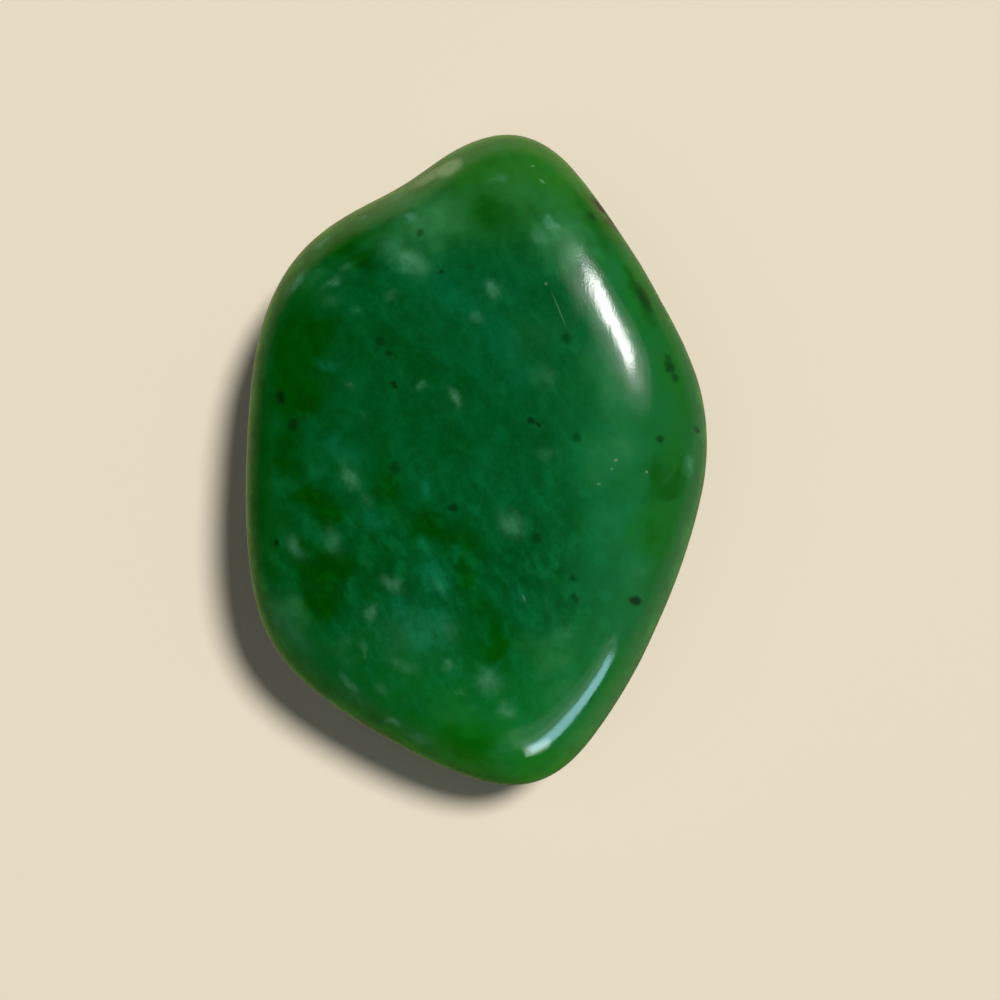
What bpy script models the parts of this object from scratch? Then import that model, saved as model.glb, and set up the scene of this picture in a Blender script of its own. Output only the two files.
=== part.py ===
"""A tumbled and polished chip of green serpentine, lying on its flatter face.

The chip has six broad sides, a top and an underside. Tumbling has rounded every edge, so
the skin is a soft maximum of those flat faces: out on a face it is nearly flat, and at an
edge it turns from one face to the next in a curve. One hollow is left in its upper left side.

Metres, +Z up. The longest extent is along Y and the shortest is along Z. The origin is at
the middle of the bounding box's bottom. Sizes below are in millimetres and degrees, measured
from the chip's own centre, before it is set down.
"""
import bmesh
import bpy
import numpy as np

NODE_NAME = "tumbled_stone"
MILLIMETRE = 0.001

# Each side has a heading, turned from +X towards +Y, and a sharp edge line around its middle
# at a distance and a height. Above that line one flat face leans in, below it another.
SIDES = {
    "right upper": dict(heading=31.6, distance=14.75, edge_height=0.15, upper_lean=13.5, lower_lean=24),
    "right lower": dict(heading=-18.5, distance=14.45, edge_height=0.15, upper_lean=15, lower_lean=24),
    "bottom right": dict(heading=-40, distance=17.6, edge_height=-0.05, upper_lean=27.5, lower_lean=26),
    "upper left": dict(heading=122, distance=17.7, edge_height=-0.5, upper_lean=31, lower_lean=24),
    "left": dict(heading=179.2, distance=14.25, edge_height=0.05, upper_lean=6.5, lower_lean=20),
    "lower left": dict(heading=241.7, distance=17.35, edge_height=-0.25, upper_lean=28, lower_lean=24),
}
TOP_HEIGHT = 5.45
UNDERSIDE_DEPTH = 5.5
EDGE_SOFTNESS = 2.2

HOLLOW_CENTRE = (-3.7, 13.6, 0.8)
HOLLOW_REACH = 3.2
HOLLOW_DEPTH = 0.38

# A small flat is worn on the underside, where the chip rests.
REST_FLAT_RISE = 0.12

# The starting ball is stretched to about the chip's size, which spreads its vertices evenly.
BALL_RADII = (12.0, 17.0, 6.5)
BALL_SUBDIVISIONS = 5
LONGEST_REACH = 40.0
HALVINGS = 40

GREEN = (0.010, 0.130, 0.030, 1.0)
POLISH_ROUGHNESS = 0.12


def clear_scene():
    for old in list(bpy.data.objects):
        bpy.data.objects.remove(old, do_unlink=True)


def facing(heading, rise):
    """The unit vector with this heading and this rise above the horizontal."""
    turn = np.radians(heading)
    lift = np.radians(rise)
    return np.array([np.cos(turn) * np.cos(lift), np.sin(turn) * np.cos(lift), np.sin(lift)])


def flat_faces():
    """Every flat face's outward direction, and its distance from the centre."""
    directions = [facing(0, 90), facing(0, -90)]
    distances = [TOP_HEIGHT, UNDERSIDE_DEPTH]
    for side in SIDES.values():
        edge = facing(side["heading"], 0) * side["distance"]
        edge[2] = side["edge_height"]
        for rise in (side["upper_lean"], -side["lower_lean"]):
            outward = facing(side["heading"], rise)
            directions.append(outward)
            distances.append(edge @ outward)
    return np.array(directions), np.array(distances)


def height_over_skin(points, directions, distances):
    """How far points are outside the skin: a soft maximum over the faces, and the hollow."""
    over_faces = (points @ directions.T - distances) / EDGE_SOFTNESS
    soft_maximum = EDGE_SOFTNESS * np.log(np.exp(over_faces).sum(axis=1))
    from_hollow = ((points - np.array(HOLLOW_CENTRE)) ** 2).sum(axis=1)
    return soft_maximum + HOLLOW_DEPTH * np.exp(-from_hollow / HOLLOW_REACH ** 2)


def skin_points(rays):
    """The point where each ray from the centre meets the skin, found by halving."""
    directions, distances = flat_faces()
    inside = np.zeros(len(rays))
    outside = np.full(len(rays), LONGEST_REACH)
    for _ in range(HALVINGS):
        middle = (inside + outside) / 2
        is_outside = height_over_skin(rays * middle[:, None], directions, distances) > 0
        outside = np.where(is_outside, middle, outside)
        inside = np.where(is_outside, inside, middle)
    return rays * outside[:, None]


def set_down(points):
    """Wear the rest flat, and put the origin at the middle of the box's bottom."""
    rest_height = points[:, 2].min() + REST_FLAT_RISE
    worn = points.copy()
    worn[:, 2] = np.maximum(worn[:, 2], rest_height)
    lowest, highest = worn.min(axis=0), worn.max(axis=0)
    bottom_middle = np.array([(lowest[0] + highest[0]) / 2, (lowest[1] + highest[1]) / 2, lowest[2]])
    return worn - bottom_middle


def stone_mesh():
    ball = bmesh.new()
    bmesh.ops.create_icosphere(ball, subdivisions=BALL_SUBDIVISIONS, radius=1.0)
    starts = np.array([vertex.co[:] for vertex in ball.verts]) * np.array(BALL_RADII)
    rays = starts / np.linalg.norm(starts, axis=1)[:, None]
    for vertex, place in zip(ball.verts, set_down(skin_points(rays))):
        vertex.co = place * MILLIMETRE
    bmesh.ops.recalc_face_normals(ball, faces=ball.faces)
    mesh = bpy.data.meshes.new(NODE_NAME)
    ball.to_mesh(mesh)
    ball.free()
    mesh.shade_smooth()
    return mesh


def polished_green():
    material = bpy.data.materials.new("polished_green_stone")
    material.use_nodes = True
    shader = material.node_tree.nodes["Principled BSDF"]
    shader.inputs["Base Color"].default_value = GREEN
    shader.inputs["Roughness"].default_value = POLISH_ROUGHNESS
    shader.inputs["Metallic"].default_value = 0.0
    return material


clear_scene()
stone = bpy.data.objects.new(NODE_NAME, stone_mesh())
stone.data.materials.append(polished_green())
bpy.context.scene.collection.objects.link(stone)
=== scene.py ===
"""The look of a tumbled and polished green serpentine stone, lying on a pale floor.

The stone's skin is worked out here once more, on a fine grid: the same flat faces and the same
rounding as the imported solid, set into the solid's own box, with low swells and pits on top.
Points are in millimetres around the stone's own centre, or in the row frame where a comment
says so, and become metres only when the mesh is made.

What shows in the stone is kept in the short lists below. Clouds and broad patches become a
value at every vertex, which the material turns into colour, and so does the stone's thickness
there. Smaller marks, such as the dark specks, the worn chip and the scratches, are finer than
the grid, so the material draws them itself, as small ellipses on the skin.
"""
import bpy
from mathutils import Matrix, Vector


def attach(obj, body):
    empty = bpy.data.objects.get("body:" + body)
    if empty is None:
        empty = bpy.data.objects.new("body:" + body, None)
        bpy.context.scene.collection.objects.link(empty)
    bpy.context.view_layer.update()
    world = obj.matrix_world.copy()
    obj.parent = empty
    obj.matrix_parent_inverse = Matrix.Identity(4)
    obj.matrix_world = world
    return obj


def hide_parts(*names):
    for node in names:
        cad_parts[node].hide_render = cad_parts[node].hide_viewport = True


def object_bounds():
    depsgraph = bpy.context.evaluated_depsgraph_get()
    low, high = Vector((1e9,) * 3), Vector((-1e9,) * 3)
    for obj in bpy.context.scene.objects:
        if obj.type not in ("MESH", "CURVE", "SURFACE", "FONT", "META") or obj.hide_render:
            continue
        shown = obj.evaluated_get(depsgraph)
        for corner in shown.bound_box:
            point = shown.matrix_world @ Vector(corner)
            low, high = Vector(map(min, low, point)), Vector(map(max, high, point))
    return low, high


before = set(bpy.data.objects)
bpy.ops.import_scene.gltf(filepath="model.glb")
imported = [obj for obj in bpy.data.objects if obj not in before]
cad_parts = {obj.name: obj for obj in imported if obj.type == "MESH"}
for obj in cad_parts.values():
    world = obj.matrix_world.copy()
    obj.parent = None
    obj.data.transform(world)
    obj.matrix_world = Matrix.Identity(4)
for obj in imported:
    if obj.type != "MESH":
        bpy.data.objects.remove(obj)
cad_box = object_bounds()

from types import SimpleNamespace

import bmesh
import bpy
import numpy as np
from mathutils import Matrix, Quaternion, Vector

NODE = "tumbled_stone"
MILLIMETRE = 0.001

# ---------------------------------------------------------------- the stone's form

# Each side has two flat faces that meet at an edge, which lies at a distance and a height from
# the centre. The upper face looks up by its lean and the lower one down by its own, in degrees.
SIDES = {
    "right upper": dict(heading=31.6, distance=14.75, edge_height=0.15, upper_lean=13.5, lower_lean=24),
    "right lower": dict(heading=-18.5, distance=14.45, edge_height=0.15, upper_lean=15, lower_lean=24),
    "bottom right": dict(heading=-40, distance=17.6, edge_height=-0.05, upper_lean=27.5, lower_lean=26),
    "upper left": dict(heading=122, distance=17.7, edge_height=-0.5, upper_lean=31, lower_lean=24),
    "left": dict(heading=179.2, distance=14.25, edge_height=0.05, upper_lean=6.5, lower_lean=20),
    "lower left": dict(heading=241.7, distance=17.35, edge_height=-0.25, upper_lean=28, lower_lean=24),
}
TOP_HEIGHT = 5.45
UNDERSIDE_DEPTH = 5.5
EDGE_SOFTNESS = 2.2
HOLLOW_CENTRE = (-3.7, 13.6, 0.8)
HOLLOW_REACH = 3.2
HOLLOW_DEPTH = 0.38
REST_FLAT_RISE = 0.12

# The grid starts as a cube cut into fine squares. Its corners are spread over an ellipsoid with
# these radii, and each then moves straight out from the centre, or in, until it meets the skin.
CUBE_CUTS = 123
STARTING_RADII = (12.0, 17.0, 6.5)
LONGEST_REACH = 40.0
HALVINGS = 36
SLOPE_STEP = 0.001
JUST_INSIDE = 0.02

# Swells left by tumbling: wavelength, height and how many waves make them up. The length of
# each wave is the wavelength times a chance value in this range.
SWELLS = ((9.0, 0.030, 14), (4.0, 0.010, 18), (1.6, 0.0025, 24))
WAVE_LENGTHS = (0.75, 1.4)

# Pits on the top face: place in the row frame, radius and depth.
PITS = {
    "by the left black speck": ((-10.21, 2.11), 0.24, 0.05),
    "ring": ((-4.29, -1.5), 0.26, 0.02),
    "right of the middle": ((6.53, -1.6), 0.12, 0.03),
    "top dot": ((2.86, 14.27), 0.12, 0.03),
    "top dash": ((3.27, 13.48), 0.15, 0.03),
    "above the scratch": ((3.09, 7.91), 0.12, 0.03),
    "dark mark on the rim": ((6.19, 12.68), 0.45, 0.10),
    "dark mark's tail": ((6.8, 12.0), 0.30, 0.06),
}
SCATTERED_PITS = 150
SCATTERED_PITS_SEED = 31
PIT_RADII = (0.08, 0.26)
PIT_DEPTHS = (0.004, 0.022)

# ---------------------------------------------------------------- marks inside the stone

# Each mark: its middle in the row frame, its length and width, the turn of its length from
# +X towards +Y, and its strength. All of them are seen through the top face.
PALE_CLOUDS = (
    (-3.6, 9.1, 1.8, 1.1, -30, 0.74),
    (-4.5, 10.2, 1.4, 1.4, 0, 0.26),
    (-2.4, 12.0, 3.2, 1.8, 0, 0.10),
    (-3.6, 11.6, 0.7, 0.6, 0, 0.79),
    (-6.0, 12.1, 0.8, 0.4, 30, 0.47),
    (-8.3, 10.6, 0.9, 0.5, 45, 0.69),
    (-9.5, 8.3, 1.0, 0.6, 70, 0.80),
    (-7.6, 8.1, 1.0, 0.4, 18, 0.50),
    (-7.7, 7.1, 0.8, 0.6, 0, 0.18),
    (-6.9, 8.9, 0.6, 0.4, 0, 0.39),
    (-4.7, 7.4, 0.7, 0.5, 0, 0.29),
    (-6.4, 6.6, 0.6, 0.4, 0, 0.19),
    (-0.3, 6.1, 0.6, 0.6, 0, 0.35),
    (0.9, 13.8, 1.2, 0.4, 5, 0.37),
    (2.9, 10.5, 0.8, 0.8, 0, 0.47),
    (3.6, 11.2, 0.8, 0.5, -60, 1.30),
    (0.5, 7.6, 0.9, 0.6, -65, 0.60),
    (-3.1, 2.6, 0.6, 0.4, 0, 0.41),
    (-6.6, 2.8, 0.4, 0.4, 0, 0.30),
    (-1.3, 2.2, 1.0, 0.4, -65, 0.59),
    (-5.9, 1.2, 0.5, 0.5, 0, 0.10),
    (-6.5, -2.0, 1.1, 0.6, -65, 0.61),
    (-5.8, -3.1, 0.8, 0.4, -45, 0.27),
    (-7.4, -5.1, 1.3, 0.7, -75, 0.31),
    (-9.3, -5.3, 1.2, 0.6, -55, 0.46),
    (-4.3, -7.2, 1.1, 0.6, -25, 0.55),
    (-2.1, -7.4, 0.6, 0.4, -60, 0.37),
    (1.4, -4.2, 1.2, 0.9, -50, 0.60),
    (3.1, 3.2, 1.2, 1.0, 0, 0.18),
    (3.1, -0.8, 0.7, 0.6, 0, 0.19),
    (10.7, -0.9, 1.1, 0.5, -70, 0.74),
    (-5.5, -8.7, 0.8, 0.6, 60, 0.62),
    (-6.7, -9.9, 0.8, 0.6, -10, 0.10),
    (-5.8, -10.4, 0.7, 0.4, -70, 0.45),
    (-3.8, -11.2, 1.5, 0.6, -28, 0.32),
    (-6.6, -12.0, 1.1, 0.4, -60, 1.05),
    (-4.9, -12.3, 0.9, 0.6, -60, 0.30),
    (-3.3, -9.7, 3.5, 2.2, 0, 0.11),
    (-1.7, -9.5, 1.4, 0.7, -60, 0.25),
    (-1.7, -11.2, 0.6, 0.5, 0, 0.47),
    (-1.0, -12.6, 0.5, 0.4, 0, 0.41),
    (-4.3, -13.9, 0.7, 0.4, 0, 0.92),
    (-3.0, -14.8, 1.3, 0.8, 0, 0.56),
    (-9.4, -9.4, 2.6, 1.4, -70, 0.23),
    (0.4, -12.0, 1.2, 1.0, -60, 0.63),
    (1.2, -13.4, 0.8, 0.8, 0, 0.70),
    (2.0, -7.9, 0.6, 0.2, -65, 0.10),
    (4.1, -9.5, 1.1, 0.7, 0, 0.22),
    (1.2, -15.2, 1.6, 1.0, 60, 0.25),
)
TURQUOISE_CLOUDS = (
    (-2.9, -5.4, 1.3, 0.6, -60, 0.50),
    (-2.2, -7.0, 1.9, 1.1, -56, 0.85),
    (-2.9, -2.3, 0.7, 0.7, 0, 0.60),
    (-5.2, -3.9, 1.7, 0.9, -12, 0.40),
    (-8.4, -1.5, 1.2, 0.7, -31, 0.25),
    (-2.9, -9.6, 3.0, 1.9, -38, 0.45),
    (-3.8, -8.5, 1.7, 0.8, -40, 0.45),
    (-7.1, -0.6, 1.7, 0.8, -30, 0.35),
    (-7.7, 3.9, 1.1, 0.7, -1, 0.50),
    (-6.3, 6.5, 0.7, 0.5, -1, 0.40),
    (-0.6, 6.8, 1.5, 0.9, -20, 0.30),
    (1.9, -8.0, 1.1, 0.5, -60, 0.40),
    (0.9, 2.6, 0.6, 0.3, -50, 0.40),
    (-1.1, 7.1, 7.5, 4.7, -15, 0.22),
    (1.1, 4.8, 6.1, 3.6, -60, 0.22),
    (-4.2, 8.5, 3.0, 1.6, -1, 0.20),
    (0.9, -2.0, 5.5, 3.5, -60, 0.10),
)
MILKY_AND_SHEEN_PATCHES = (
    (-2.5, 11.6, 4.0, 2.5, -14, 0.72),
    (-4.0, 13.1, 2.6, 3.2, 24, 0.60),
    (-3.6, 9.3, 2.8, 1.9, -32, 0.50),
    (-4.4, 10.1, 1.3, 1.8, -2, 0.30),
    (-6.9, 9.2, 1.6, 1.0, -15, 0.35),
    (-9.0, 8.1, 1.8, 2.1, 63, 0.40),
    (-7.5, 7.6, 1.6, 1.5, -3, 0.30),
    (-9.4, -9.1, 4.0, 2.2, -60, 0.65),
    (-6.7, -10.2, 2.2, 1.3, -20, 0.35),
    (-4.3, -10.5, 1.8, 1.5, -50, 0.20),
    (-6.0, -13.0, 2.8, 1.5, -36, 0.45),
    (-2.8, -14.8, 1.7, 1.9, -20, 0.40),
    (-1.0, -13.4, 2.5, 1.3, -20, 0.30),
    (1.3, -15.1, 1.7, 2.0, 0, 0.40),
    (3.5, -10.4, 3.5, 2.3, 20, 0.50),
    (3.7, -12.6, 3.3, 1.6, 44, 0.40),
    (6.7, -0.6, 3.5, 2.3, -80, 0.50),
    (6.3, -4.4, 3.1, 2.5, 1, 0.20),
    (3.3, -7.8, 2.2, 0.4, -54, 0.35),
    (8.2, -6.7, 2.0, 1.1, 65, 0.40),
    (10.4, -4.8, 1.5, 1.6, 75, 0.40),
    (2.4, 12.9, 3.1, 1.8, -20, 0.35),
    # This patch, by the upper end of the long highlight, is a painted sheen.
    (4.1, 10.5, 2.9, 2.5, -51, 0.90),
    (6.0, 9.3, 2.3, 1.9, -61, 0.40),
    (3.5, 6.0, 3.0, 2.1, -62, 0.15),
    (3.1, 3.0, 3.0, 1.7, -30, 0.25),
    (6.1, 2.2, 4.0, 2.3, -72, 0.50),
    (3.5, -1.1, 3.0, 1.5, -19, 0.20),
    (-6.5, -1.4, 2.2, 1.5, -40, 0.25),
    (-9.7, -5.6, 1.2, 1.7, -2, 0.20),
    (-10.6, -2.0, 1.8, 1.0, -4, 0.20),
    (-1.6, 2.0, 2.5, 1.5, -50, 0.12),
    (1.9, 5.3, 6.1, 3.3, -62, 0.22),
    (6.5, -9.3, 2.0, 1.5, 49, 0.20),
    (10.9, -1.0, 1.2, 1.0, 79, 0.50),
    (-1.6, 14.1, 1.9, 2.0, 24, 0.20),
    (-9.1, -10.9, 3.2, 2.3, -55, 0.45),
    (-5.4, -14.0, 3.1, 2.4, -33, 0.35),
    (-10.7, -7.9, 3.1, 1.2, -75, 0.40),
    (-10.3, 7.5, 2.1, 2.2, 54, 0.20),
    (-10.3, -9.3, 3.6, 2.1, -62, 0.75),
)
DEEP_GREEN_PATCHES = (
    (-9.3, 4.4, 6.0, 3.5, 89, 1.00),
    (-9.0, 2.3, 3.2, 3.0, -2, 1.00),
    (-8.2, 5.8, 3.3, 1.5, -14, 0.85),
    (-9.6, 0.4, 3.3, 2.2, 81, 0.75),
    (-6.1, 9.2, 1.9, 1.6, -13, 0.85),
    (-6.9, 10.3, 2.9, 2.0, 21, 0.75),
    (-5.3, 10.0, 2.9, 1.0, 86, 0.35),
    (-9.6, -1.3, 2.7, 1.1, -19, 0.85),
    (-8.6, -2.9, 2.4, 1.3, -21, 0.80),
    (-7.7, -3.6, 1.9, 1.9, 0, 0.80),
    (-7.7, -6.5, 3.6, 2.3, -5, 1.00),
    (-7.9, -8.0, 2.3, 2.3, 0, 1.00),
    (-8.8, -5.4, 1.4, 0.9, -40, 0.85),
    (-6.5, -6.0, 1.5, 2.0, 0, 0.60),
    (-2.7, -4.6, 3.1, 1.6, -42, 0.75),
    (-1.0, -6.8, 2.0, 1.7, 0, 0.70),
    (-1.0, -5.0, 3.8, 2.2, -30, 0.60),
    (-4.3, -2.9, 4.0, 1.7, -62, 0.62),
    (0.6, -9.9, 2.6, 1.5, 80, 0.95),
    (1.2, -11.3, 1.5, 1.3, 0, 0.55),
    (0.0, -8.1, 3.7, 2.5, -60, 0.50),
    (8.9, -1.6, 2.4, 1.5, 85, 1.00),
    (10.0, -1.7, 1.5, 1.0, 85, 1.00),
    (9.4, -2.4, 2.3, 1.1, 8, 0.90),
    (-0.5, -15.4, 3.3, 2.7, -20, 0.75),
    (-11.0, -1.4, 6.1, 1.1, 88, 0.50),
    (8.0, 8.2, 2.7, 1.1, -63, 0.90),
    (8.7, 6.8, 1.9, 1.0, -67, 0.60),
    (5.6, 12.5, 2.4, 1.4, -63, 0.70),
    (8.6, -4.4, 1.7, 0.9, 80, 0.45),
    (-4.0, -15.2, 3.3, 3.7, -24, 0.30),
    (0.3, 11.7, 2.8, 2.6, 0, 0.50),
    (6.4, 11.1, 3.0, 1.6, -62, 0.90),
    (-0.6, -10.2, 3.0, 1.8, -59, 0.40),
    (-11.1, 2.4, 3.2, 1.4, 90, 0.50),
    (-5.1, -5.8, 3.0, 1.8, -50, 0.45),
    (-8.9, -1.6, 2.5, 2.0, -1, 0.55),
    (-5.1, 0.9, 4.5, 2.5, -60, 0.22),
    (0.9, -9.6, 2.0, 2.2, 0, 0.45),
)
BRIGHT_GREEN_PATCHES = (
    (0.9, 11.1, 4.5, 3.1, 71, 0.35),
    (2.8, 14.6, 5.0, 3.4, -11, 0.70),
    (4.6, 13.2, 4.9, 3.0, -60, 0.95),
    (8.1, 8.0, 6.2, 3.0, -63, 0.90),
    (10.1, 3.6, 5.7, 2.6, -81, 1.00),
    (9.1, -4.4, 4.6, 2.8, 74, 0.95),
    (9.9, -0.3, 2.9, 2.0, 79, 0.90),
    (6.6, -12.4, 8.3, 3.6, 54, 0.95),
    (4.1, -15.7, 4.9, 2.9, 28, 0.90),
    (-0.5, -15.1, 4.3, 3.0, -20, 0.95),
    (-3.5, -14.1, 4.5, 2.2, -30, 0.60),
    (-0.2, 14.6, 3.1, 3.7, 15, 0.60),
    (-2.9, 7.8, 3.5, 2.1, -10, 0.25),
    (-6.7, 10.5, 3.6, 3.2, 37, 0.50),
    (-6.1, 5.5, 3.6, 1.5, -21, 0.35),
    (-5.0, -13.4, 3.0, 1.8, -30, 0.45),
    (-1.4, 4.8, 3.0, 1.2, -20, 0.20),
    (-11.0, -2.9, 7.5, 1.8, 88, 0.60),
    (-4.7, 7.1, 4.5, 3.7, 0, 0.45),
)
# Where the polish is rubbed and finely pitted.
RUBBED_PATCHES = (
    (5.1, 9.9, 2.9, 1.4, -63, 1.00),
    (7.9, 0.6, 3.2, 2.0, 3, 0.35),
    (-4.2, 7.1, 3.0, 2.1, 0, 0.30),
)
DARK_SPECKS = (
    (6.25, 12.73, 0.88, 1.72, -51, 1.00),
    (6.87, 11.83, 0.94, 1.07, -55, 0.90),
    (-10.12, 2.19, 0.84, 0.43, -62, 0.73),
    (-5.13, 4.94, 0.56, 0.4, -41, 0.53),
    (-5.33, 4.48, 0.3, 0.26, 0, 0.33),
    (-4.68, 4.32, 0.4, 0.25, -20, 0.52),
    (-4.42, 2.69, 0.45, 0.25, -50, 0.72),
    (-4.34, -1.47, 0.59, 0.5, 0, 0.51),
    (-1.47, -3.45, 0.54, 0.35, 0, 0.66),
    (-10.17, -5.13, 0.35, 0.3, 0, 0.85),
    (2.41, 0.94, 0.5, 0.3, -32, 0.72),
    (2.76, 0.74, 0.35, 0.2, -32, 0.66),
    (4.5, -6.87, 0.46, 0.35, 1, 0.57),
    (4.61, -7.86, 0.55, 0.3, -59, 0.57),
    (4.3, -7.17, 0.25, 0.2, 1, 0.14),
    (7.78, -7.95, 0.79, 0.45, -16, 0.86),
    (-2.1, 8.53, 0.25, 0.27, 0, 0.55),
)
SOFT_SPECKS = (
    (-9.43, 0.73, 0.69, 0.56, -2, 0.98),
    (4.24, 5.2, 0.61, 0.46, 1, 0.73),
    (2.7, -4.91, 0.55, 0.45, 0, 0.75),
    (4.72, 0.11, 0.45, 0.4, 1, 0.67),
    (3.85, -6.63, 0.6, 0.45, -39, 0.40),
    (8.99, 0.14, 0.45, 0.41, 0, 0.98),
    (11.11, 0.86, 0.64, 0.31, 0, 1.00),
    (8.4, 7.49, 1.54, 0.77, -60, 0.89),
    (5.7, 11.88, 0.52, 0.59, -50, 0.80),
    (9.62, 3.97, 0.75, 0.56, -68, 1.00),
    (9.88, 3.42, 0.50, 0.40, -60, 0.90),
    (9.53, 4.45, 0.45, 0.40, -59, 0.85),
    (-3.16, 10.67, 0.41, 0.48, 0, 0.78),
    (-0.64, 8.8, 0.4, 0.37, 0, 0.44),
    (3.1, -6.0, 0.45, 0.4, 0, 0.30),
    (-5.98, 9.15, 0.63, 0.53, -3, 0.22),
)

# A worn chip at the edge with a painted reflection, fine scratches, and painted glints at pits.
CHIP_MARKS = (
    (-1.74, 14.72, 1.56, 1.54, 26, 1.00),
    (-2.6, 14.42, 2.2, 1.32, 24, 0.80),
)
SCRATCHES = (
    (3.85, 6.66, 1.63, 0.07, -68, 0.20),
    (2.06, -7.88, 0.35, 0.1, -70, 0.22),
)
PAINTED_GLINTS = (
    (2.66, 14.51, 0.16, 0.15, 4, 0.16),
    (3.1, 13.61, 0.32, 0.13, -48, 0.15),
    (3.2, 7.97, 0.1, 0.21, 2, 0.22),
    (6.69, -0.96, 0.21, 0.15, 31, 0.16),
    (6.48, -1.41, 0.13, 0.13, 0, 0.13),
    (5.82, -2.18, 0.15, 0.1, 1, 0.15),
    (8.29, -1.51, 0.14, 0.13, 0, 0.22),
)

# The marks that become a value at every vertex: each list, how ragged its outlines are in
# millimetres, how firm its edges are, and what is scattered where the list doesn't reach: how
# many, their lengths, their strengths and the seed.
MARKS = {
    "pale": (PALE_CLOUDS, 0.08, 1.2, (110, (0.6, 2.6), (0.15, 0.6), 5)),
    "turquoise": (TURQUOISE_CLOUDS, 0.20, 1.0, (30, (1.0, 5.0), (0.2, 0.6), 6)),
    "milky_and_sheen": (MILKY_AND_SHEEN_PATCHES, 0.40, 1.0, (30, (1.5, 5.0), (0.3, 0.7), 11)),
    "deep": (DEEP_GREEN_PATCHES, 0.22, 1.25, (18, (2.0, 7.0), (0.5, 1.0), 7)),
    "bright": (BRIGHT_GREEN_PATCHES, 0.45, 0.9, (18, (2.0, 8.0), (0.4, 0.9), 9)),
    "rubbed": (RUBBED_PATCHES, 0.30, 1.0, (14, (2.0, 6.0), (0.4, 1.0), 12)),
    "speck": ((), 0.05, 1.3, (30, (0.3, 1.0), (0.6, 1.0), 8)),
    "smudge": ((), 0.08, 1.0, (30, (0.4, 1.6), (0.3, 0.8), 10)),
}

# The small marks that the material draws itself: each list, and how soft its edges are. A mark
# that is less than so many times as long as it is wide is drawn round.
SPOTS = {
    "dark": (DARK_SPECKS, 0.50),
    "soft": (SOFT_SPECKS, 0.60),
    "chip": (CHIP_MARKS, 0.40),
    "scratch": (SCRATCHES, 0.60),
    "dot": (PAINTED_GLINTS, 0.60),
}
ROUND_ENOUGH = 1.4

# Ragged outlines come from two swells: each one's share of the raggedness, its wavelength as a
# multiple of it, how many waves make it up, and its first seed.
RAGGED_SWELLS = ((1.0, 7, 20, 40), (0.45, 3, 24, 50))

# A listed mark sits where the skin's outward direction has an upward part of more than FACES_UP,
# and a scattered one where that part is below LISTS_END. The widths are shares of the length.
FACES_UP = 0.1
LISTS_END = 0.25
SCATTERED_WIDTHS = (0.35, 0.8)

# ---------------------------------------------------------------- camera and surroundings

# The camera stands almost overhead, in the row frame's millimetres.
CAMERA_PLACE = (-4.26, -12.34, 94.24)
CAMERA_TARGET = (1.52, -1.85, 0.0)
CAMERA_LENS = 61.2
CAMERA_SENSOR = 36.0
NEAREST_SEEN = 0.005

# The floor and the wall round it, in metres.
FLOOR_RADIUS = 2.0
WALL_HEIGHT = 1.2
FLOOR_CORNERS = 96

# The lamps stand round this point, in millimetres.
LAMPS_AIM = (0.0, 0.0, 8.0)


def facing(heading, rise):
    """The unit vector with this heading and this rise above the horizontal, in degrees."""
    turn = np.radians(heading)
    lift = np.radians(rise)
    return np.array([np.cos(turn) * np.cos(lift), np.sin(turn) * np.cos(lift), np.sin(lift)])


# ---------------------------------------------------------------- skin

def flat_faces():
    """Every flat face's outward direction, and its distance from the centre."""
    directions = [facing(0, 90), facing(0, -90)]
    distances = [TOP_HEIGHT, UNDERSIDE_DEPTH]
    for side in SIDES.values():
        edge = facing(side["heading"], 0) * side["distance"]
        edge[2] = side["edge_height"]
        for rise in (side["upper_lean"], -side["lower_lean"]):
            outward = facing(side["heading"], rise)
            directions.append(outward)
            distances.append(edge @ outward)
    return np.array(directions), np.array(distances)


FACE_DIRECTIONS, FACE_DISTANCES = flat_faces()


def height_over_skin(points):
    """How far points are outside the skin: a soft maximum over the faces, and the hollow."""
    over_faces = (points @ FACE_DIRECTIONS.T - FACE_DISTANCES) / EDGE_SOFTNESS
    soft_maximum = EDGE_SOFTNESS * np.log(np.exp(over_faces).sum(axis=1))
    from_hollow = ((points - np.array(HOLLOW_CENTRE)) ** 2).sum(axis=1)
    return soft_maximum + HOLLOW_DEPTH * np.exp(-from_hollow / HOLLOW_REACH ** 2)


def first_crossing(starts, rays):
    """How far along each ray the skin is met, found by halving. Each ray starts inside."""
    inside = np.zeros(len(rays))
    outside = np.full(len(rays), LONGEST_REACH)
    for _ in range(HALVINGS):
        middle = (inside + outside) / 2
        is_outside = height_over_skin(starts + rays * middle[:, None]) > 0
        outside = np.where(is_outside, middle, outside)
        inside = np.where(is_outside, inside, middle)
    return outside


def skin_normals(points):
    """The outward direction at each point, from the slope of the height over the skin."""
    slopes = []
    for axis in np.eye(3) * SLOPE_STEP:
        slopes.append(height_over_skin(points + axis) - height_over_skin(points - axis))
    normals = np.stack(slopes, axis=1)
    return normals / np.linalg.norm(normals, axis=1)[:, None]


def thickness(skin):
    """How thick the stone is straight through each point, in millimetres."""
    through = np.where(skin[:, 2:3] > 0, -1.0, 1.0) * np.array([[0.0, 0.0, 1.0]])
    return first_crossing(skin + through * JUST_INSIDE, through)


def waves(points, wavelength, count, seed):
    """An even, random swell between about -1 and 1: many plane waves added together."""
    chance = np.random.default_rng(seed)
    total = np.zeros(len(points))
    for _ in range(count):
        heading = chance.normal(size=3)
        heading /= np.linalg.norm(heading)
        length = wavelength * chance.uniform(*WAVE_LENGTHS)
        total += np.sin(points @ heading * (2 * np.pi / length) + chance.uniform(0, 2 * np.pi))
    return total / np.sqrt(count)


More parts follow.
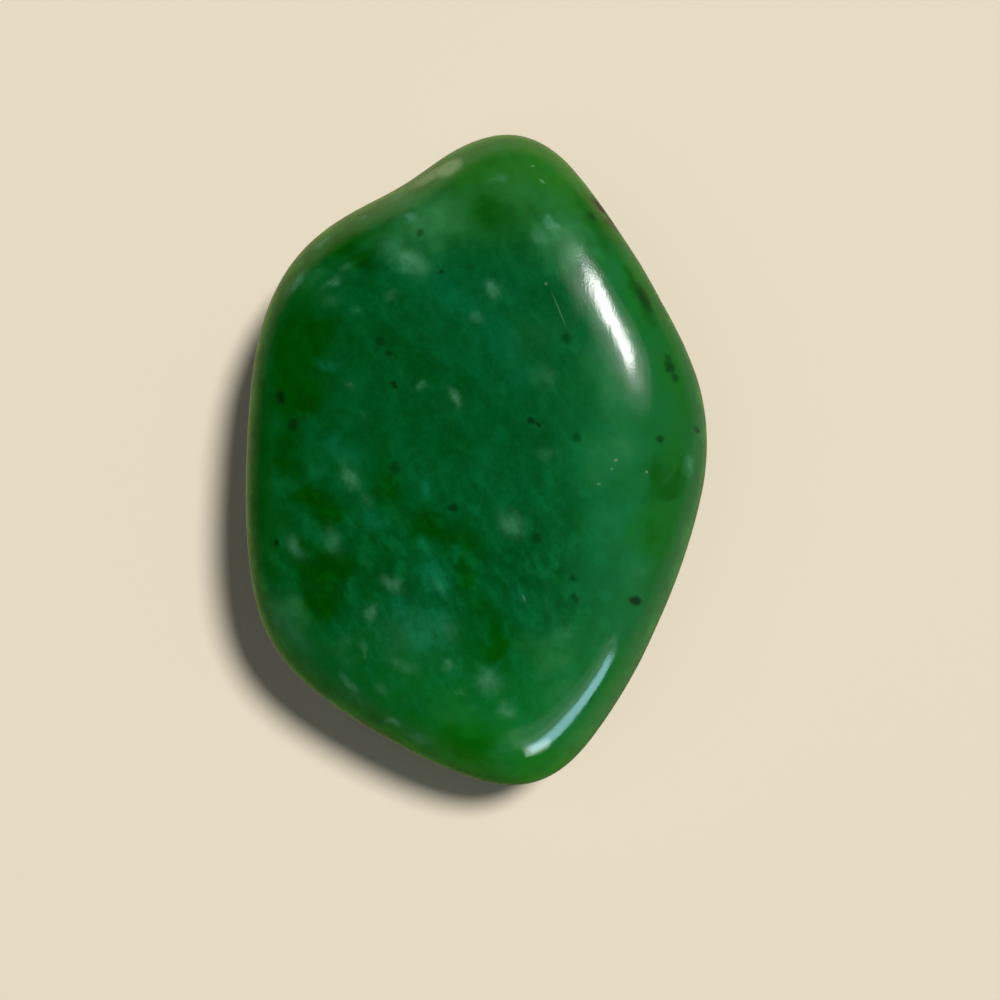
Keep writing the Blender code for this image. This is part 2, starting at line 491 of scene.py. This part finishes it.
def swell_height(points):
    """How high the swells left by tumbling stand at each point."""
    total = np.zeros(len(points))
    for seed, (wavelength, height, count) in enumerate(SWELLS):
        total += height * waves(points, wavelength, count, seed)
    return total


def on_top(points, normals, place):
    """Which upward-facing vertex is nearest to a place given in x and y."""
    away = ((points[:, :2] - np.array(place)) ** 2).sum(axis=1)
    return np.argmin(np.where(normals[:, 2] > FACES_UP, away, np.inf))


def pit_depth(points, normals):
    """How deep the pits reach at each vertex: the listed ones, and small ones all over."""
    chance = np.random.default_rng(SCATTERED_PITS_SEED)
    pits = []
    for place, radius, depth in PITS.values():
        pits.append((points[on_top(points, normals, place)], radius, depth))
    for _ in range(SCATTERED_PITS):
        middle = points[chance.integers(len(points))]
        pits.append((middle, chance.uniform(*PIT_RADII), chance.uniform(*PIT_DEPTHS)))
    total = np.zeros(len(points))
    for middle, radius, depth in pits:
        away = ((points - middle) ** 2).sum(axis=1)
        total += depth * np.exp(-away / radius ** 2)
    return total


def set_down(points):
    """Wear the rest flat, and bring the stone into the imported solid's box."""
    worn = points.copy()
    worn[:, 2] = np.maximum(worn[:, 2], points[:, 2].min() + REST_FLAT_RISE)
    lowest, highest = worn.min(axis=0), worn.max(axis=0)
    low_corner, high_corner = np.array(cad_box) / MILLIMETRE
    box_middle = (low_corner + high_corner) / 2
    shift = box_middle - (lowest + highest) / 2
    shift[2] = low_corner[2] - lowest[2]
    return worn + shift


# ---------------------------------------------------------------- marks

def ragged(points, reach):
    """The points pushed about by up to about this much, so that marks get ragged outlines."""
    pushed = points.copy()
    for axis in range(3):
        for share, stretch, count, seed in RAGGED_SWELLS:
            pushed[:, axis] += reach * share * waves(points, reach * stretch, count, seed + axis)
    return pushed


def mark_strength(points, normals, marks, raggedness, firmness):
    """The strongest listed mark at each vertex. A mark is a soft ellipsoid around its middle."""
    pushed = ragged(points, raggedness)
    strongest = np.zeros(len(points))
    for x, y, length, width, turn, strength in marks:
        nearest = on_top(points, normals, (x, y))
        outward = normals[nearest]
        across = np.cross(outward, facing(turn, 0))
        across /= np.linalg.norm(across)
        away = pushed - points[nearest]
        reach = (away @ np.cross(across, outward) / (length / 2)) ** 2
        reach += (away @ across / (width / 2)) ** 2
        reach += (away @ outward / length) ** 2
        strongest = np.maximum(strongest, strength * np.exp(-reach ** firmness))
    return strongest


def scattered_marks(points, normals, count, lengths, strengths, seed, raggedness):
    """Marks of the same kind on the sides and the underside, where the lists don't reach."""
    chance = np.random.default_rng(seed)
    pushed = ragged(points, raggedness)
    below = np.flatnonzero(normals[:, 2] < LISTS_END)
    strongest = np.zeros(len(points))
    for _ in range(count):
        middle = points[chance.choice(below)]
        along = chance.normal(size=3)
        along /= np.linalg.norm(along)
        length = chance.uniform(*lengths)
        width = length * chance.uniform(*SCATTERED_WIDTHS)
        away = pushed - middle
        on_line = away @ along
        off_line = (away ** 2).sum(axis=1) - on_line ** 2
        reach = (on_line / (length / 2)) ** 2 + off_line / (width / 2) ** 2
        strongest = np.maximum(strongest, chance.uniform(*strengths) * np.exp(-reach))
    return strongest


def spot_frames(points, normals, marks):
    """For each mark, the frame that the material draws it in, and its strength.

    The frame is the mark's middle on the skin, the turn of its own axes and its half sizes.
    """
    frames = []
    for x, y, length, width, turn, strength in marks:
        nearest = on_top(points, normals, (x, y))
        outward = Vector(normals[nearest])
        offset = Vector((x - points[nearest][0], y - points[nearest][1], 0))
        fall = offset.dot(outward) / outward.z
        across = outward.cross(Vector(facing(turn, 0))).normalized()
        axes = Matrix((across.cross(outward), across, outward)).transposed()
        middle = (x, y, points[nearest][2] - fall)
        frames.append((middle, axes.to_euler(), (length / 2, width / 2, length), strength))
    return frames


# ---------------------------------------------------------------- the stone

def stone_object():
    """The stone: its skin as a mesh, with a value for each kind of mark at every vertex."""
    ball = bmesh.new()
    bmesh.ops.create_cube(ball, size=2.0)
    bmesh.ops.subdivide_edges(ball, edges=ball.edges[:], cuts=CUBE_CUTS, use_grid_fill=True)
    starts = np.array([vertex.co[:] for vertex in ball.verts])
    rays = np.tan(starts * np.pi / 4) * np.array(STARTING_RADII)
    rays /= np.linalg.norm(rays, axis=1)[:, None]
    skin = rays * first_crossing(np.zeros_like(rays), rays)[:, None]
    normals = skin_normals(skin)
    placed = set_down(skin)
    relief = swell_height(skin) - pit_depth(placed, normals)
    final = set_down(skin + normals * relief[:, None])
    for vertex, place in zip(ball.verts, final * MILLIMETRE):
        vertex.co = place
    bmesh.ops.recalc_face_normals(ball, faces=ball.faces)
    mesh = bpy.data.meshes.new("stone_skin")
    ball.to_mesh(mesh)
    ball.free()
    mesh.shade_smooth()
    for name, value in vertex_values(skin, placed, normals).items():
        layer = mesh.attributes.new(name, "FLOAT", "POINT")
        layer.data.foreach_set("value", value.astype(np.float32))
    spots = {}
    for name, (marks, softness) in SPOTS.items():
        spots[name] = (spot_frames(placed, normals, marks), softness)
    mesh.materials.append(stone_material(spots))
    stone = bpy.data.objects.new("stone", mesh)
    bpy.context.scene.collection.objects.link(stone)
    return stone


def vertex_values(skin, placed, normals):
    """What the material reads at every vertex: the thickness, and each kind of mark."""
    values = {"thickness": thickness(skin)}
    for name, (marks, raggedness, firmness, scatter) in MARKS.items():
        listed = mark_strength(placed, normals, marks, raggedness, firmness)
        spread = scattered_marks(placed, normals, *scatter, raggedness)
        values[name] = np.maximum(listed, spread)
    return values


# ---------------------------------------------------------------- colours

def tint(red, green, blue):
    """A colour from the usual 0 to 255 values, as the linear light that shaders use."""
    share = np.array([red, green, blue]) / 255
    linear = np.where(share <= 0.04045, share / 12.92, ((share + 0.055) / 1.055) ** 2.4)
    return (*(float(part) for part in linear), 1.0)


GROUND = tint(0, 70, 18)
GROUND_BROAD = tint(0, 77, 28)
GROUND_MOTTLE = tint(1, 92, 48)
# A greyer tone with a painted sheen, for the side that the lamps light.
GREYER_SIDE_AND_SHEEN = tint(17, 113, 58)
FAR_END = tint(44, 118, 44)
NEAR_END = tint(16, 118, 42)
NEAREST_END = tint(30, 142, 44)
FLECK = tint(16, 122, 68)
FINE_GRAIN = tint(24, 128, 72)
RIGHT_EDGE = tint(18, 99, 30)
# A purer green, lightened as painted light for the side away from the lamps.
LEFT_EDGE_AND_PAINTED_LIGHT = tint(10, 116, 14)
# The milky colour, which also paints the sheen by the long highlight.
MILKY_AND_SHEEN = tint(54, 136, 80)
RIM_DIM = tint(38, 150, 44)
RIM_BRIGHT = tint(60, 184, 30)
PALE_CLOUD = tint(80, 152, 116)
TURQUOISE_CLOUD = tint(24, 140, 100)
# The worn chip's pale face is a painted reflection of the floor.
WORN_CHIP_AND_REFLECTION = tint(118, 158, 104)
SOFT_SPECK = tint(2, 42, 8)
DARK_SPECK = tint(6, 20, 8)
SCRATCH = tint(120, 180, 150)
# Painted glints at the small pits.
PAINTED_GLINT = tint(190, 225, 200)
PALE_FLOOR = tint(224, 214, 196)

# The sky's light, above and under the horizon.
ABOVE = (0.002, 0.002, 0.002, 1)
ABOVE_RIGHT = (0.10, 0.12, 0.12, 1)
BELOW_NEAR = (0.06, 0.06, 0.025, 1)
BELOW_FAR = (0.34, 0.32, 0.16, 1)
BELOW_SHADOW = (0.06, 0.065, 0.025, 1)
BELOW_RIGHT = (0.26, 0.29, 0.21, 1)

# These filter the colour under them: red, green and blue are multiplied by them. The last one
# allows for the scattering skin, which sends back a little more light than a plain one.
PURER_FILTER = (0.7, 0.93, 0.55, 1)
BRIGHT_GREEN_FILTER = (0.9, 1.02, 0.38, 1)
DEEP_GREEN_FILTER = (0.30, 0.70, 0.06, 1)
SCATTERING_FILTER = (0.94, 0.885, 0.89, 1)

# ---------------------------------------------------------------- material

# The mottling is drawn out along one direction, as the listed marks are: the place is turned
# by GRAIN_TURN, which brings that direction to +Y, and then shortened along it.
GRAIN_TURN = (0, 0, np.radians(-32))
GRAIN_SCALE = (1.0, 0.55, 1.0)
# A turn that keeps the finest mottling off the axes.
FINE_GRAIN_TURN = (0.6, 0.4, 0.9)
# The small marks' edges are pushed about by up to half of this, in millimetres.
SPOT_RAGGEDNESS = 0.35
# Fine scratches in the polish are long along Y: the place is scaled, and then turned.
SCRATCH_SCALE = (7.0, 0.7, 3.0)
SCRATCH_TURN = (0, 0, np.radians(-25))

# The height of the fine relief in the polish, in metres.
POLISH_RELIEF = 0.000005
REFRACTIVE_INDEX = 1.57
# How light spreads under the polish: its share, its reach in metres, and what that reach is
# multiplied by for red, green and blue.
SCATTERING_SHARE = 0.6
SCATTERING_REACH = 0.002
SCATTERING_FACTORS = (0.35, 1.0, 0.5)


class Graph:
    """Short names for the shader nodes that this file uses."""

    def __init__(self, tree):
        self.tree = tree

    def put(self, value, socket):
        if isinstance(value, bpy.types.NodeSocket):
            self.tree.links.new(value, socket)
        else:
            socket.default_value = value

    def made(self, kind, output, inputs, **settings):
        """One output of a new node with these settings and inputs."""
        node = self.tree.nodes.new(kind)
        for name, value in settings.items():
            setattr(node, name, value)
        for name, value in inputs.items():
            self.put(value, node.inputs[name])
        return node.outputs[output]

    def attribute(self, name):
        return self.made("ShaderNodeAttribute", "Fac", {}, attribute_name=name)

    def parts(self, vector):
        """The vector's X, Y and Z."""
        split = self.tree.nodes.new("ShaderNodeSeparateXYZ")
        self.put(vector, split.inputs[0])
        return split.outputs["X"], split.outputs["Y"], split.outputs["Z"]

    def maths(self, operation, first, second):
        return self.made("ShaderNodeMath", 0, {0: first, 1: second}, operation=operation)

    def plus(self, first, second):
        return self.maths("ADD", first, second)

    def times(self, first, second):
        return self.maths("MULTIPLY", first, second)

    def larger(self, first, second):
        return self.maths("MAXIMUM", first, second)

    def swing(self, noise, reach):
        """Noise as a value that swings about 0, by up to about half of this reach."""
        return self.times(self.maths("SUBTRACT", noise, 0.5), reach)

    def vector_maths(self, operation, output, *inputs):
        kind = "ShaderNodeVectorMath"
        return self.made(kind, output, dict(enumerate(inputs)), operation=operation)

    def stretched(self, value, low, high, to_low=0.0, to_high=1.0):
        """The value from low to high, as one from to_low to to_high with soft ends."""
        inputs = {"Value": value, "From Min": low, "From Max": high}
        inputs.update({"To Min": to_low, "To Max": to_high})
        kind = "ShaderNodeMapRange"
        return self.made(kind, "Result", inputs, interpolation_type="SMOOTHSTEP")

    def noise(self, place, scale, detail=3.0, roughness=0.5, warp=0.0, output="Fac"):
        inputs = {"Vector": place, "Scale": scale, "Detail": detail}
        inputs.update({"Roughness": roughness, "Distortion": warp})
        return self.made("ShaderNodeTexNoise", output, inputs)

    def placed(self, place, scale=(1, 1, 1), turn=(0, 0, 0)):
        """The place scaled, and then turned."""
        inputs = {"Vector": place, "Scale": scale, "Rotation": turn}
        return self.made("ShaderNodeMapping", "Vector", inputs)

    def mixed(self, share, first, second, blend="MIX"):
        """Two colours mixed. A colour's sockets on this node are 6 and 7, and 2 on its way out."""
        inputs = {0: share, 6: first, 7: second}
        return self.made("ShaderNodeMix", 2, inputs, data_type="RGBA", blend_type=blend)

    def filtered(self, share, colour, colour_filter):
        """The colour, with this share of it multiplied by the filter."""
        return self.mixed(share, colour, colour_filter, "MULTIPLY")

    def spots(self, place, frames, softness):
        """The strongest of many small ellipses that lie on the skin."""
        strongest = 0.0
        for middle, turn, half_sizes, strength in frames:
            away, edge = self.away_from_spot(place, middle, turn, half_sizes)
            near, far = edge * (1 - softness), edge * (1 + softness)
            share = self.stretched(away, near, far, strength, 0.0)
            strongest = self.larger(strongest, share)
        return strongest

    def away_from_spot(self, place, middle, turn, half_sizes):
        """How far the place is from a spot's middle, and where its edge is on the same scale."""
        half_length, half_width, _ = half_sizes
        if half_length < ROUND_ENOUGH * half_width:
            away = self.vector_maths("DISTANCE", "Value", place, middle)
            return away, np.sqrt(half_length * half_width)
        inputs = {"Vector": place, "Location": middle, "Rotation": turn, "Scale": half_sizes}
        in_frame = self.made("ShaderNodeMapping", "Vector", inputs, vector_type="TEXTURE")
        return self.vector_maths("LENGTH", "Value", in_frame), 1.0


def stone_material(spots):
    material = bpy.data.materials.new("polished_serpentine")
    material.use_nodes = True
    graph = Graph(material.node_tree)
    field = shared_fields(graph)
    ground = ground_colour(graph, field)
    ground = with_thin_edges(graph, field, ground)
    ground = with_patches(graph, field, ground)
    ground = with_shining_rim(graph, field, ground)
    ground = with_clouds(graph, field, ground)
    ground = with_small_marks(graph, field, ground, spots)
    ground = graph.filtered(1.0, ground, SCATTERING_FILTER)
    shader = material.node_tree.nodes["Principled BSDF"]
    graph.put(ground, shader.inputs["Base Color"])
    graph.put(graph.stretched(field.dull, 0.35, 0.75, 0.05, 0.14), shader.inputs["Roughness"])
    graph.put(polish_normal(graph, field), shader.inputs["Normal"])
    shader.subsurface_method = "BURLEY"
    shader.inputs["IOR"].default_value = REFRACTIVE_INDEX
    shader.inputs["Subsurface Weight"].default_value = SCATTERING_SHARE
    shader.inputs["Subsurface Radius"].default_value = SCATTERING_FACTORS
    shader.inputs["Subsurface Scale"].default_value = SCATTERING_REACH
    return material


def shared_fields(graph):
    """What several parts of the material read: places in millimetres, noises, and thickness."""
    object_place = graph.made("ShaderNodeTexCoord", "Object", {})
    place = graph.placed(object_place, scale=(1 / MILLIMETRE,) * 3)
    along_grain = graph.placed(graph.placed(place, turn=GRAIN_TURN), scale=GRAIN_SCALE)
    x, y, z = graph.parts(place)
    return SimpleNamespace(
        place=place,
        along_grain=along_grain,
        x=x,
        y=y,
        z=z,
        mottle=graph.noise(along_grain, 0.75, detail=4.0, roughness=0.58, warp=0.4),
        wisps=graph.noise(along_grain, 2.4, detail=4.0, roughness=0.66),
        purer=graph.noise(place, 0.7, detail=4.0, roughness=0.6),
        dull=graph.noise(place, 0.8, detail=4.0, roughness=0.6),
        thick=graph.attribute("thickness"),
    )


def ground_colour(graph, field):
    """Deep greens that run into each other in broad patches, then in ever smaller ones."""
    broad = graph.noise(field.along_grain, 0.17, detail=3.0, warp=0.6)
    ground = graph.mixed(graph.stretched(broad, 0.38, 0.64), GROUND, GROUND_BROAD)
    small = graph.stretched(field.mottle, 0.38, 0.68, 0.0, 0.45)
    ground = graph.mixed(small, ground, GROUND_MOTTLE)
    # Towards +X the stone is greyer, its own tone, and lighter: a painted sheen of the light from that
    # side.
    sideways = graph.plus(field.x, graph.times(field.mottle, 3.0))
    ground = graph.mixed(graph.stretched(sideways, 3.0, 9.5, 0.0, 0.75), ground, GREYER_SIDE_AND_SHEEN)
    # Towards both ends it is lighter and purer.
    lengthways = graph.plus(field.y, graph.times(field.mottle, 4.0))
    ground = graph.mixed(graph.stretched(lengthways, 10.0, 17.5, 0.0, 0.8), ground, FAR_END)
    ground = graph.mixed(graph.stretched(lengthways, -5.5, -14.0, 0.0, 0.85), ground, NEAR_END)
    ground = graph.mixed(graph.stretched(lengthways, -11.0, -16.0, 0.0, 0.8), ground, NEAREST_END)
    # Flecks of many sizes, more of them towards -Y.
    flecks = graph.noise(field.along_grain, 1.5, detail=4.0, roughness=0.66)
    more_flecks = graph.stretched(field.y, 1.0, -7.0, 0.10, 0.30)
    flecks = graph.times(graph.stretched(flecks, 0.46, 0.64), more_flecks)
    ground = graph.mixed(flecks, ground, FLECK)
    purer = graph.stretched(field.purer, 0.52, 0.62, 0.0, 0.5)
    ground = graph.filtered(purer, ground, PURER_FILTER)
    turned = graph.placed(field.place, turn=FINE_GRAIN_TURN)
    grain = graph.noise(turned, 3.2, detail=3.0, roughness=0.75)
    return graph.mixed(graph.stretched(grain, 0.42, 0.72, 0.0, 0.10), ground, FINE_GRAIN)


def with_thin_edges(graph, field, ground):
    """Purer green towards the thinner left and right edges, and painted light at the left edge."""
    right = graph.stretched(field.x, 6.0, 10.0)
    right = graph.times(graph.stretched(field.thick, 8.0, 11.0, 0.75, 0.0), right)
    ground = graph.mixed(right, ground, RIGHT_EDGE)
    # The left edge's lighter green is partly painted light, on the side away from the lamps.
    left = graph.stretched(field.x, -4.0, -10.0)
    left = graph.times(graph.stretched(field.thick, 6.5, 10.2, 0.30, 0.0), left)
    return graph.mixed(left, ground, LEFT_EDGE_AND_PAINTED_LIGHT)


def with_patches(graph, field, ground):
    """Milky patches and a painted sheen, and pure green patches, bright and deep, of uneven strength.
    """
    uneven = graph.plus(graph.swing(field.dull, 1.6), 1.0)
    milky_and_sheen = graph.times(graph.attribute("milky_and_sheen"), uneven)
    ground = graph.mixed(graph.stretched(milky_and_sheen, 0.0, 1.4), ground, MILKY_AND_SHEEN)
    bright = graph.times(graph.attribute("bright"), uneven)
    ground = graph.filtered(graph.stretched(bright, 0.1, 1.0), ground, BRIGHT_GREEN_FILTER)
    deep = graph.times(graph.attribute("deep"), uneven)
    return graph.filtered(graph.stretched(deep, 0.0, 0.88), ground, DEEP_GREEN_FILTER)


def with_shining_rim(graph, field, ground):
    """Near the rim light shines through, less so towards +X and on the side below the rim."""
    uneven_thickness = graph.plus(field.thick, graph.swing(field.purer, 6.0))
    rim = graph.stretched(uneven_thickness, 1.8, 6.2, 0.66, 0.0)
    rim = graph.times(rim, graph.stretched(field.x, -3.0, 8.0, 1.0, 0.7))
    rim = graph.times(rim, graph.stretched(field.z, 3.8, 6.8, 0.45, 1.0))
    shining = graph.mixed(graph.stretched(field.mottle, 0.38, 0.62), RIM_DIM, RIM_BRIGHT)
    return graph.mixed(rim, ground, shining)


def with_clouds(graph, field, ground):
    """Pale and turquoise clouds, broken up by fine wisps."""
    breakup = graph.stretched(field.wisps, 0.32, 0.66, 0.55, 1.20)
    pale = graph.times(graph.attribute("pale"), breakup)
    ground = graph.mixed(graph.times(pale, 0.70), ground, PALE_CLOUD)
    turquoise = graph.times(graph.attribute("turquoise"), breakup)
    return graph.mixed(graph.times(turquoise, 0.55), ground, TURQUOISE_CLOUD)


def with_small_marks(graph, field, ground, spots):
    """The worn chip's painted reflection and the dark specks, with slightly ragged edges, then
    scratches and painted glints.
    """
    push = graph.noise(field.place, 3.0, output="Color")
    reach = (SPOT_RAGGEDNESS,) * 3
    pushed = graph.vector_maths("MULTIPLY_ADD", "Vector", push, reach, field.place)
    pushed = graph.vector_maths("SUBTRACT", "Vector", pushed, (SPOT_RAGGEDNESS / 2,) * 3)
    breakup = graph.stretched(field.wisps, 0.30, 0.55, 0.7, 1.0)
    chip = graph.times(graph.spots(pushed, *spots["chip"]), breakup)
    ground = graph.mixed(chip, ground, WORN_CHIP_AND_REFLECTION)
    smudge = graph.larger(graph.spots(pushed, *spots["soft"]), graph.attribute("smudge"))
    ground = graph.mixed(graph.times(smudge, 0.75), ground, SOFT_SPECK)
    speck = graph.larger(graph.spots(pushed, *spots["dark"]), graph.attribute("speck"))
    ground = graph.mixed(graph.times(speck, 0.95), ground, DARK_SPECK)
    ground = graph.mixed(graph.spots(field.place, *spots["scratch"]), ground, SCRATCH)
    return graph.mixed(graph.spots(field.place, *spots["dot"]), ground, PAINTED_GLINT)


def polish_normal(graph, field):
    """A polish with fine scratches and tiny pits, both deeper where it is rubbed."""
    scratched = graph.placed(field.place, scale=SCRATCH_SCALE, turn=SCRATCH_TURN)
    fine = graph.noise(scratched, 1.0, detail=2.0, roughness=0.6)
    tiny = graph.noise(field.place, 10.0, detail=2.0, roughness=0.6)
    relief = graph.plus(graph.times(fine, 0.3), graph.times(tiny, 0.5))
    rubbed = graph.plus(graph.times(graph.attribute("rubbed"), 4.0), 1.0)
    inputs = {"Strength": 1.0, "Distance": POLISH_RELIEF, "Height": graph.times(relief, rubbed)}
    return graph.made("ShaderNodeBump", "Normal", inputs)


# ---------------------------------------------------------------- studio

def floor_and_backdrop():
    """A pale floor, and round it, far off, a pale wall for low views.

    Neither is seen in the stone's gloss, and the wall neither lights nor shades anything.
    """
    material = bpy.data.materials.new("pale_floor")
    material.use_nodes = True
    shader = material.node_tree.nodes["Principled BSDF"]
    shader.inputs["Base Color"].default_value = PALE_FLOOR
    shader.inputs["Roughness"].default_value = 0.9
    shader.inputs["Specular IOR Level"].default_value = 0.1
    outline = dict(segments=FLOOR_CORNERS, radius=FLOOR_RADIUS)
    sheet = bmesh.new()
    bmesh.ops.create_circle(sheet, cap_ends=True, **outline)
    plain_object("floor", sheet, material)
    wall = bmesh.new()
    bmesh.ops.create_circle(wall, **outline)
    raised = bmesh.ops.extrude_edge_only(wall, edges=wall.edges[:])["geom"]
    corners = [part for part in raised if isinstance(part, bmesh.types.BMVert)]
    bmesh.ops.translate(wall, verts=corners, vec=(0, 0, WALL_HEIGHT))
    backdrop = plain_object("backdrop", wall, material)
    backdrop.visible_diffuse = False
    backdrop.visible_shadow = False


def plain_object(name, surface, material):
    """A part of the studio that the stone's gloss doesn't mirror."""
    mesh = bpy.data.meshes.new(name)
    surface.to_mesh(mesh)
    surface.free()
    mesh.materials.append(material)
    thing = bpy.data.objects.new(name, mesh)
    bpy.context.scene.collection.objects.link(thing)
    thing.visible_glossy = False
    return thing


def lamp(name, direction, distance, size, power, colour, turn=0.0, shape="ELLIPSE",
         in_reflections=True, on_surfaces=True):
    """A flat soft lamp, at a heading and a rise from the stone, aimed at it.

    Its distance and size are in millimetres and its power is in watts. The turn is about the
    line to the stone, in degrees.
    """
    light = bpy.data.lights.new(name, "AREA")
    light.shape = shape
    light.size = size[0] * MILLIMETRE
    light.size_y = size[1] * MILLIMETRE
    light.energy = power
    light.color = colour
    holder = bpy.data.objects.new(name, light)
    outward = Vector(facing(*direction))
    holder.location = (Vector(LAMPS_AIM) + outward * distance) * MILLIMETRE
    holder.rotation_mode = "QUATERNION"
    spin = Quaternion(outward, np.radians(turn))
    holder.rotation_quaternion = spin @ (-outward).to_track_quat("-Z", "Y")
    holder.visible_glossy = in_reflections
    holder.visible_diffuse = on_surfaces
    bpy.context.scene.collection.objects.link(holder)


def lamps():
    """Two large lamps light the surfaces. The others show only in the stone's gloss."""
    lamp("overhead", (38, 67.5), 3200, (720, 720), 107, (1.0, 0.97, 0.92), in_reflections=False)
    lamp("fill", (200, 62), 3200, (3730, 3730), 14, (0.97, 0.98, 1.0), in_reflections=False)
    # The long highlight at the upper right, with a soft fringe.
    key = dict(colour=(1.0, 0.99, 0.97), on_surfaces=False)
    lamp("key glint", (40.1, 50.7), 300, (20, 62), 0.110, turn=22, **key)
    lamp("key halo", (40.6, 51.6), 300, (76, 98), 0.024, turn=25, **key)
    lamp("key haze", (41.5, 50.4), 300, (128, 150), 0.032, turn=25, **key)
    # The bluish glint of a window along the lower right side, with a wide haze around it.
    window = dict(shape="RECTANGLE", on_surfaces=False)
    lamp("window glint", (-51, 15.5), 400, (350, 90), 0.65, (0.42, 0.77, 1.0), turn=5, **window)
    lamp("window end", (-70, 10), 400, (130, 90), 0.17, (0.85, 1.0, 0.90), **window)
    lamp("window haze", (-56, 27), 400, (400, 160), 0.09, (0.80, 0.92, 1.0), **window)
    lamp("window skirt", (-52, 20), 400, (400, 130), 0.10, (0.80, 0.92, 1.0), turn=5, **window)


def sky():
    """What the stone's gloss mirrors besides the lamps.

    Above it is dark, and paler towards +X. Below it has a floor's dim light, because the gloss
    doesn't mirror the floor itself, and more of it towards +Y. Towards -X, where the stone's
    shadow lies, this light is dimmer and starts lower. Towards +X it is greyer, except at +Y.
    """
    world = bpy.data.worlds.new("studio")
    world.use_nodes = True
    bpy.context.scene.world = world
    graph = Graph(world.node_tree)
    x, y, z = graph.parts(graph.made("ShaderNodeTexCoord", "Generated", {}))
    lowered = graph.stretched(x, -0.5, -1.0, 0.0, 0.2)
    height = graph.stretched(graph.plus(z, lowered), -0.25, 0.10)
    above = graph.mixed(graph.stretched(x, 0.0, 0.9), ABOVE, ABOVE_RIGHT)
    below = graph.mixed(graph.stretched(y, -0.7, 0.9), BELOW_NEAR, BELOW_FAR)
    below = graph.mixed(graph.times(lowered, 4.0), below, BELOW_SHADOW)
    right = graph.times(graph.stretched(y, 0.7, 0.3), graph.stretched(x, 0.3, 0.8))
    below = graph.mixed(right, below, BELOW_RIGHT)
    background = world.node_tree.nodes["Background"]
    graph.put(graph.mixed(height, below, above), background.inputs["Color"])


def camera():
    data = bpy.data.cameras.new("camera")
    data.lens = CAMERA_LENS
    data.sensor_width = CAMERA_SENSOR
    data.clip_start = NEAREST_SEEN
    holder = bpy.data.objects.new("camera", data)
    place = Vector(CAMERA_PLACE) * MILLIMETRE
    forward = (Vector(CAMERA_TARGET) * MILLIMETRE - place).normalized()
    right = forward.cross(Vector((0, 1, 0))).normalized()
    up = right.cross(forward)
    turned = Matrix((right, up, -forward)).transposed().to_4x4()
    holder.matrix_world = Matrix.Translation(place) @ turned
    bpy.context.scene.collection.objects.link(holder)
    bpy.context.scene.camera = holder


camera()
floor_and_backdrop()
sky()
lamps()
bpy.context.scene.view_settings.view_transform = "Standard"

stone = stone_object()
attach(stone, "root")
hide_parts(NODE)
